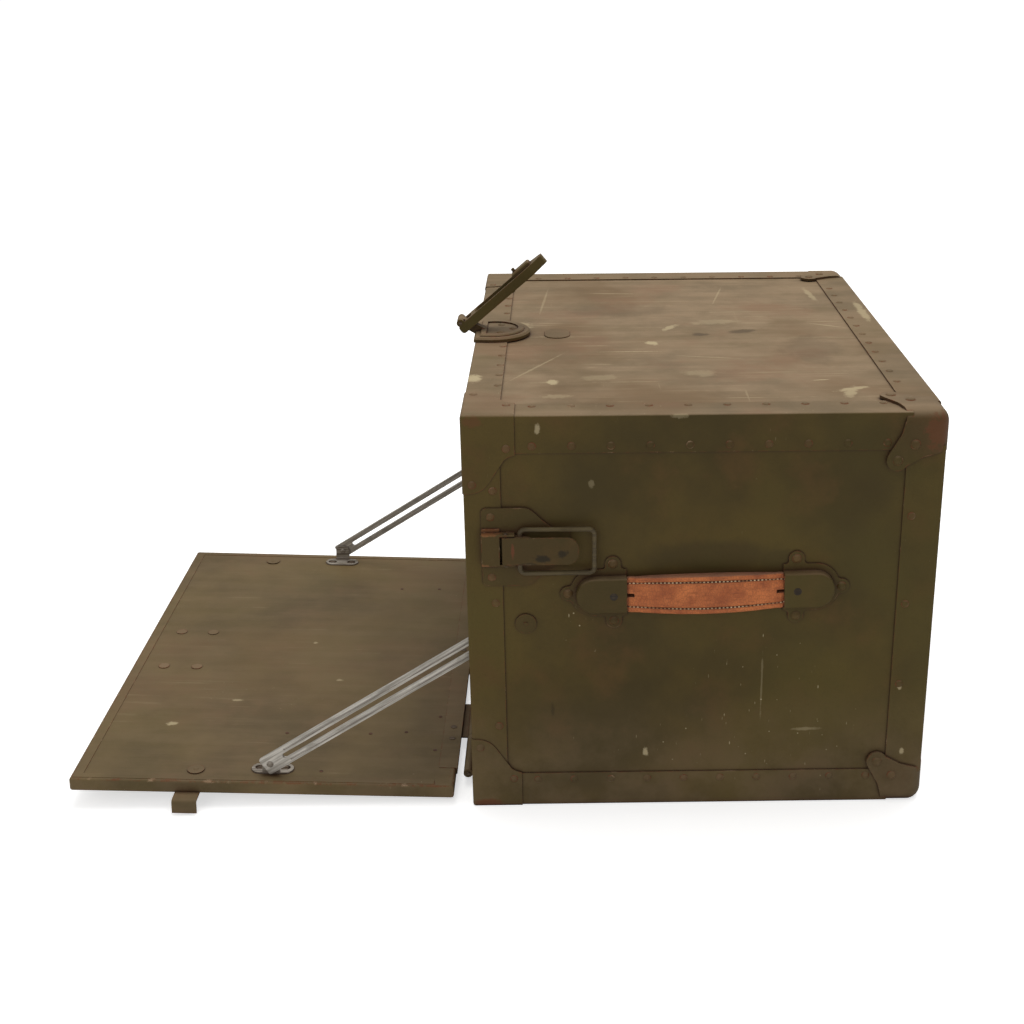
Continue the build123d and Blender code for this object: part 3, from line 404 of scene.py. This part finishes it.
def finish_frame():
    """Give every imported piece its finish."""
    side_cream = (
        (0.9, (-131, -254, 338), (3, 4, 5)), (0.7, (-165, -254, 150), (1.4, 4, 11)),
        (0.7, (-162, -254, 131), (1.2, 4, 8)), (0.8, (-44, -254, 50), (3, 4, 5)),
        (0.25, (-89, -254, 292), (3, 4, 4)), (0.3, (90, -254, 70), (15, 4, 2), 0, 0.8, 130.0),
        (0.2, (52, -254, 110), (1.2, 4, 34), 0, 0.9, 90.0),
    )
    side_sprinkles = ((0.9, (-103, -254, 186), (16, 6, 34)), (0.9, (45, -254, 122), (56, 6, 60)),
                      (0.8, (92, -254, 84), (40, 6, 56)), (0.7, (10, -254, 60), (120, 6, 26)))
    side_stains = ((0.4, (10, -254, 228), (70, 6, 20), 0, 0.35, 24.0), (0.4, (-122, -254, 91), (2, 4, 8)),
                   (0.35, (60, -254, 225), (26, 6, 14), 0, 0.4, 30.0))
    top_cream = (
        (0.7, (-29, -36, 348), (7, 8, 5), 20, 1.0, 130.0), (0.5, (-9, 20, 348), (16, 5, 5), 58, 1.0, 130.0),
        (0.7, (-119, -159, 348), (6, 9, 5), 0, 1.0, 130.0),
        (0.22, (-78, -146, 348), (22, 10, 5), 10, 0.8, 90.0), (0.25, (-116, -200, 348), (14, 7, 5), 0, 0.8),
        (0.3, (-133, -112, 348), (58, 1.7, 5), 62, 0.7, 160.0),
        (0.25, (-129, 130, 348), (66, 1.6, 5), 86, 0.7, 160.0),
        (0.6, (128, -186, 348), (20, 5, 5), 25, 0.8, 130.0),
        (0.55, (124, -196, 348), (6, 22, 5), -20, 0.8, 130.0),
        (0.22, (35, 40, 348), (26, 12, 5), 8, 0.8, 90.0), (0.22, (7, -136, 348), (20, 12, 5), 0, 0.9, 120.0),
        (0.4, (143, 150, 348), (4, 36, 5), 5, 0.8, 120.0), (0.35, (140, 22, 348), (22, 2, 5), -30, 0.6),
        (0.6, (105, -160, 348), (10, 1.6, 5), 8, 0.5), (0.3, (48, 150, 348), (44, 1.4, 5), 78, 0.7, 160.0),
        (0.5, (-51, -65, 348), (34, 1.3, 5), 0, 1.0, 420.0), (0.35, (-60, 162, 348), (34, 1.8, 5), -6, 0.5),
        (0.3, (20, -86, 348), (42, 1.3, 5), -12, 0.8, 200.0),
        (0.35, (-150, 30, 348), (14, 20, 5), 0, 1.0, 160.0),
    )
    top_stains = ((0.85, (17, -7, 348), (11, 7, 5), 0, 0.6), (0.8, (58, 3, 348), (17, 8, 5), 15, 0.6),
                  (0.3, (112, -60, 348), (30, 60, 5), 0, 0.9, 40.0),
                  (0.25, (-60, 90, 348), (60, 40, 5), 0, 0.9, 40.0))
    edging_cream = (
        (0.8, (-186, -149, 349), (9, 14, 5), 0, 0.7), (0.7, (-169, -250, 349), (16, 4, 4), 0, 0.7),
        # The faint mark on the near top edge is a painted highlight.
        (0.3, (-20, -255, 348), (9, 3, 3), 0, 1.0, 200.0),
        (0.6, (-131, -255, 338), (3, 4, 5)), (0.5, (182, 70, 349), (5, 50, 5), 0, 1.0, 110.0),
        (0.5, (-165, -254, 345), (12, 10, 4), 0, 0.9, 150.0), (0.7, (167, -255, 109), (2.2, 4, 3)),
        (0.7, (173, -255, 48), (2.4, 4, 4)),
    )
    clamp_rust = ((0.55, (184, -257, 334), (15, 14, 18), 0, 1.0), (0.5, (184, 250, 340), (10, 10, 10)))
    housing_rust = ((0.95, (-170, -260, 254.5), (14, 12, 3.4), 0, 0.6), (0.6, (-176, -263, 226), (6, 6, 3)))
    lever_pits = ((0.95, (-128, -266, 233), (8, 4, 4.5), 0, 0.9, 200.0),
                  (0.9, (-112, -266, 237), (5, 4, 4), 0, 0.8), (0.6, (-140, -266, 228), (10, 4, 2), 0, 0.8))
    lever_rust = ((0.8, (-152, -266, 240), (1.5, 4, 8)),)
    corner_rust = ((0.8, (-178, -255, 3), (16, 6, 5), 0, 0.5), (0.4, (-182, -255, 345), (10, 6, 6)))
    sides = paint("side_paint", specks=0.3, cream=side_cream, stains=side_stains, sprinkles=side_sprinkles)
    bands = paint("edging_paint", specks=0.4, cream=edging_cream, rust=0.45, bare=0.5)
    hardware = paint("hardware_paint", tone(79, 64, 30), specks=0.15, rust=0.6, dust=0.5)
    door = paint("door_paint", tone(95, 79, 40), dust=0.4, specks=0.25, streaks=0.12,
                 cream=((0.7, (-470, -152, 26), (7, 4, 6), 0, 0.9, 200.0), (0.5, (-420, -105, 25), (6, 3, 6)),
                        (0.5, (-330, -60, 22), (4, 3, 6)), (0.5, (-365, 20, 22), (3, 3, 6))))
    finishes = {
        "top_board": paint("top_paint", specks=0.2, dust=0.95, streaks=0.55, cream=top_cream,
                           stains=top_stains, stain=tone(84, 68, 48)),
        "side_board_near": sides, "side_board_far": sides, "back_board": sides,
        "base_board": sides, "hinge_rail": bare_edge_wood(),
        "door_board": door,
        "door_binding": paint("binding_paint", tone(106, 88, 52), dust=0.4, rust=0.6, bare=0.7),
        "front_corner_plates": paint("plate_paint", rust=0.55, specks=0.2, rusts=corner_rust),
        "back_corner_clamps": paint("clamp_paint", tone(86, 66, 38), rust=0.7, specks=0.2, rusts=clamp_rust),
        "latch_housing_near": paint("housing_paint", tone(78, 62, 30), rust=0.95, dust=0.25, specks=0.1,
                                    bare=0.6, marked=tone(142, 94, 58), rusts=housing_rust),
        "latch_lever_near": paint("lever_paint", tone(76, 60, 30), rust=0.6, dust=0.25, specks=0.1, bare=0.6,
                                  stains=lever_pits, rusts=lever_rust),
        "hasp_mount": paint("mount_paint", dust=0.85, rust=0.8, specks=0.3, bare=0.6),
        # The rivets' lighter paint is a painted highlight on their crowns; the short rim distance and high
        # rust deepen the painted shade round them.
        "edging_rivets": paint("rivet_paint_highlit", tone(104, 78, 48), dust=0.7, rust=1.1, specks=0.1, bare=0.6,
                               rim=0.003),
    }
    finishes["latch_housing_far"] = finishes["latch_housing_near"]
    finishes["latch_lever_far"] = finishes["latch_lever_near"]
    zinc = tone(208, 202, 192)
    steel = {
        "stay_near": metal("zinc_stay", zinc, tone(156, 150, 140), 0.5, 0.45, rust=0.12, turn=31.7),
        "stay_bracket_near": metal("zinc_bracket", tone(176, 168, 156), tone(112, 102, 90), 0.5, 0.5,
                                   rust=0.3),
        "handle_studs": metal("stud_steel", tone(66, 54, 36), tone(38, 30, 22), 0.3, 0.5, rust=0.3),
        "hinge_pin": metal("old_steel", tone(120, 104, 86), tone(76, 62, 48), 0.6, 0.5, rust=0.6),
        "door_nails": metal("rusty_nails", tone(104, 66, 42), tone(64, 42, 30), 0.3, 0.6, rust=0.8),
        "latch_bail_near": metal("bail_wire", tone(90, 76, 42), tone(66, 54, 30), 0.1, 0.5, rust=0.3),
    }
    steel["stay_far"] = steel["stay_near"]
    for name in ("stay_bracket_far", "stay_pins"):
        steel[name] = steel["stay_bracket_near"]
    for name in ("hasp_pin", "latch_pins", "bracket_screws", "hinge_screws_case", "hinge_screws_door"):
        steel[name] = steel["hinge_pin"]
    steel["latch_bail_far"] = steel["latch_bail_near"]
    finishes.update(steel)
    for name in ("corner_rivets", "latch_and_mount_rivets", "handle_rivets", "lock_rivets"):
        finishes[name] = finishes["edging_rivets"]
    for name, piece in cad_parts.items():
        wanted = finishes.get(name) or (bands if "edging" in name else hardware)
        for number in range(max(1, len(piece.material_slots))):
            piece.material_slots[number].material = wanted


# ======================= Leather handles =======================
STRAP_TILT = radians(-1.1)  # the handle sits a little off level
STRAP_HALF = 0.0155
STRAP_THICK = 0.0044
STITCH_ROW = 0.0105
SLOT_FROM_END = 0.022
SLOT_SIZE = (0.028, 0.0029, 0.03)
SLOT_ROUND = 0.0014
STITCH_SPACING = 0.0031


def strap_height(along, half):
    """How far the strap's back stands off the panel, most in the middle."""
    bow = max(0.0, 1 - (along / (0.70 * half)) ** 2)
    return 0.0031 + 0.0055 * bow ** 1.25


def strap_waist(along, half):
    """The strap's width against its width at the caps: fuller in the middle, narrow inside them."""
    inside = min(1.0, max(0.0, (abs(along) - 0.0625) / 0.002))
    return 1 + 0.105 * max(0.0, 1 - (along / (0.6 * half)) ** 2) - 0.125 * inside


def strap_depth(along, half):
    """How far the strap's back is filled out towards the panel, most in the middle."""
    return 0.0042 * max(0.0, 1 - (along / (0.62 * half)) ** 2)


def to_handle(low, high, outward):
    """The handle's own frame: X along the strap, Y across it, Z out of the panel."""
    middle = (low + high) / 2
    panel = min(abs(low.y), abs(high.y)) - 0.003
    turn = Matrix.Rotation(STRAP_TILT, 4, "Y")
    side = Matrix(((1, 0, 0, 0), (0, 0, outward, 0), (0, 1, 0, 0), (0, 0, 0, 1)))
    return Matrix.Translation((middle.x, outward * panel, middle.z)) @ turn @ side


def strap_section():
    """One round of the strap's section: soft edges, a crease along each stitch row and a padded middle."""
    def edge_fall(y):
        return 0.0011 * max(0.0, 1 - (STRAP_HALF - abs(y)) / 0.0016) ** 2

    across = []
    for number in range(61):
        y = STRAP_HALF * (2 * number / 60 - 1)
        crease = 0.0005 * max(0.0, 1 - abs(abs(y) - STITCH_ROW) / 0.0012)
        pad = 0.0006 * max(0.0, 1 - (abs(y) / 0.0098) ** 2)
        across.append((y, STRAP_THICK - edge_fall(y) - crease + pad))
    back = [(y, edge_fall(y)) for y, _ in reversed(across[::4])]
    return across + back


def make_strap(name, node, outward):
    """The leather strap with a slot near each end."""
    low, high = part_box(node)
    place = to_handle(low, high, outward)
    half = (high.x - low.x) / 2
    section = strap_section()
    mesh = bmesh.new()
    rings = []
    for step in range(121):
        along = half * (step / 60 - 1)
        lift = strap_height(along, half)
        taper = 1 - 0.05 * max(0.0, (abs(along) / half - 0.95) / 0.05)
        waist = strap_waist(along, half)
        fill = strap_depth(along, half)
        ring = []
        for y, z in section:
            height = z + lift - fill * (1 - z / STRAP_THICK)
            ring.append(mesh.verts.new(place @ Vector((along, y * taper * waist, height))))
        rings.append(ring)
    for first, second in zip(rings, rings[1:]):
        for number in range(len(section)):
            after = (number + 1) % len(section)
            mesh.faces.new((first[number], first[after], second[after], second[number]))
    mesh.faces.new(rings[0])
    mesh.faces.new(rings[-1])
    bmesh.ops.recalc_face_normals(mesh, faces=mesh.faces)
    strap = solid_from(mesh, name)
    for end in (-1, 1):
        slot = bmesh.new()
        bmesh.ops.create_cube(slot, size=1)
        middle = end * (half - SLOT_FROM_END)
        bmesh.ops.scale(slot, vec=SLOT_SIZE, verts=slot.verts)
        bmesh.ops.translate(slot, vec=(middle, 0, 0.005), verts=slot.verts)
        upright = [e for e in slot.edges if abs(e.verts[0].co.z - e.verts[1].co.z) > 0.02]
        bmesh.ops.bevel(slot, geom=upright, offset=SLOT_ROUND, segments=4, affect="EDGES")
        bmesh.ops.transform(slot, matrix=place, verts=slot.verts)
        bmesh.ops.recalc_face_normals(slot, faces=slot.faces)
        cutter = solid_from(slot, "slot_cutter")
        cut = strap.modifiers.new("slot", "BOOLEAN")
        cut.operation = "DIFFERENCE"
        cut.object = cutter
        cut.solver = "EXACT"
        settle(strap)
        bpy.data.objects.remove(cutter)
    smooth(strap, 40)
    return strap, place, half


def solid_from(mesh, name):
    """An object at the origin from a finished bmesh."""
    data = bpy.data.meshes.new(name)
    mesh.to_mesh(data)
    mesh.free()
    made = bpy.data.objects.new(name, data)
    scene.collection.objects.link(made)
    return made


def settle(piece):
    """Turn the piece and its modifiers into a plain mesh."""
    bpy.context.view_layer.update()
    shown = piece.evaluated_get(bpy.context.evaluated_depsgraph_get())
    plain = bpy.data.meshes.new_from_object(shown)
    piece.modifiers.clear()
    piece.data = plain


def smooth(piece, angle):
    """Shade round except across sharp edges."""
    piece.data.shade_smooth()
    piece.data.set_sharp_from_angle(angle=radians(angle))


def row_tree(thread, length, radius):
    """A Geometry Nodes tree that repeats one stitch along the edges of its input."""
    tree = bpy.data.node_groups.new("sewn_rows", "GeometryNodeTree")
    face = tree.interface
    face.new_socket("Rows", in_out="INPUT", socket_type="NodeSocketGeometry")
    for label, start in (("Stitch spacing", 0.0032), ("Stitch length", length), ("Thread radius", radius)):
        face.new_socket(label, in_out="INPUT", socket_type="NodeSocketFloat").default_value = start
    face.new_socket("Seed", in_out="INPUT", socket_type="NodeSocketInt").default_value = 4
    face.new_socket("Stitches", in_out="OUTPUT", socket_type="NodeSocketGeometry")

    def node(kind, settings=None, **inputs):
        made = tree.nodes.new(kind)
        for key, value in (settings or {}).items():
            setattr(made, key, value)
        for key, value in inputs.items():
            key = key.replace("_", " ")
            if isinstance(value, bpy.types.NodeSocket):
                tree.links.new(value, made.inputs[key])
            else:
                made.inputs[key].default_value = value
        return made.outputs

    given = node("NodeGroupInput")
    line = node("GeometryNodeMeshToCurve", Mesh=given["Rows"])["Curve"]
    by_length = {"mode": "LENGTH"}
    spaced = node("GeometryNodeResampleCurve", by_length, Curve=line, Length=given["Stitch spacing"])["Curve"]
    stitch = node("GeometryNodeMeshUVSphere", Segments=8, Rings=5, Radius=1.0)["Mesh"]
    half = node("ShaderNodeMath", {"operation": "MULTIPLY"})
    tree.links.new(given["Stitch length"], half[0].node.inputs[0])
    half[0].node.inputs[1].default_value = 0.5
    size = node("ShaderNodeCombineXYZ", X=given["Thread radius"], Y=given["Thread radius"], Z=half[0])[0]
    ready = node("GeometryNodeTransform", Geometry=stitch, Scale=size)["Geometry"]
    tangent = node("GeometryNodeInputTangent")[0]
    heading = node("FunctionNodeAlignRotationToVector", {"axis": "Z"}, Vector=tangent)[0]
    spread = node("FunctionNodeRandomValue", {"data_type": "FLOAT_VECTOR"}, Seed=given["Seed"])
    spread[0].node.inputs[0].default_value = (0.85, 0.85, 0.82)
    spread[0].node.inputs[1].default_value = (1.15, 1.15, 1.12)
    sewn = node("GeometryNodeInstanceOnPoints", Points=spaced, Instance=ready, Rotation=heading,
                Scale=spread[0])["Instances"]
    real = node("GeometryNodeRealizeInstances", Geometry=sewn)["Geometry"]
    dressed = node("GeometryNodeSetMaterial", Geometry=real, Material=thread)["Geometry"]
    tree.links.new(dressed, tree.nodes.new("NodeGroupOutput").inputs[0])
    return tree


def sew(name, place, half, tree, start):
    """Two rows of stitches along a strap, or of the holes between them, from a start along it."""
    rows = bmesh.new()
    for y in (-STITCH_ROW, STITCH_ROW):
        line = []
        for step in range(61):
            along = (half - 0.006) * (step / 30 - 1) + start
            waist = strap_waist(along, half)
            height = strap_height(along, half) + STRAP_THICK - 0.0003
            line.append(rows.verts.new(place @ Vector((along, y * waist, height))))
        for first, second in zip(line, line[1:]):
            rows.edges.new((first, second))
    stitches = solid_from(rows, name)
    sewing = stitches.modifiers.new("rows", "NODES")
    sewing.node_group = tree
    for item in tree.interface.items_tree:
        if item.in_out == "INPUT" and item.name == "Stitch spacing":
            sewing[item.identifier] = STITCH_SPACING
    settle(stitches)
    stitches.data.shade_smooth()
    return stitches


def build_handles():
    """The leather straps and their stitching."""
    leather = harness_leather()
    thread = row_tree(waxed_thread(), 0.0018, 0.00058)
    hole = row_tree(needle_hole_shade(), 0.0009, 0.00062)
    for label, outward in (("near", -1), ("far", 1)):
        strap, place, half = make_strap("leather_strap_" + label, "handle_strap_" + label, outward)
        strap.data.materials.clear()
        strap.data.materials.append(leather)
        stitches = sew("strap_stitches_" + label, place, half, thread, 0.0)
        holes = sew("needle_holes_" + label, place, half, hole, STITCH_SPACING / 2)
        for piece in (strap, stitches, holes):
            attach(piece, "case")
        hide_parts("handle_strap_" + label)


place_camera()
light_studio()
finish_frame()
build_handles()
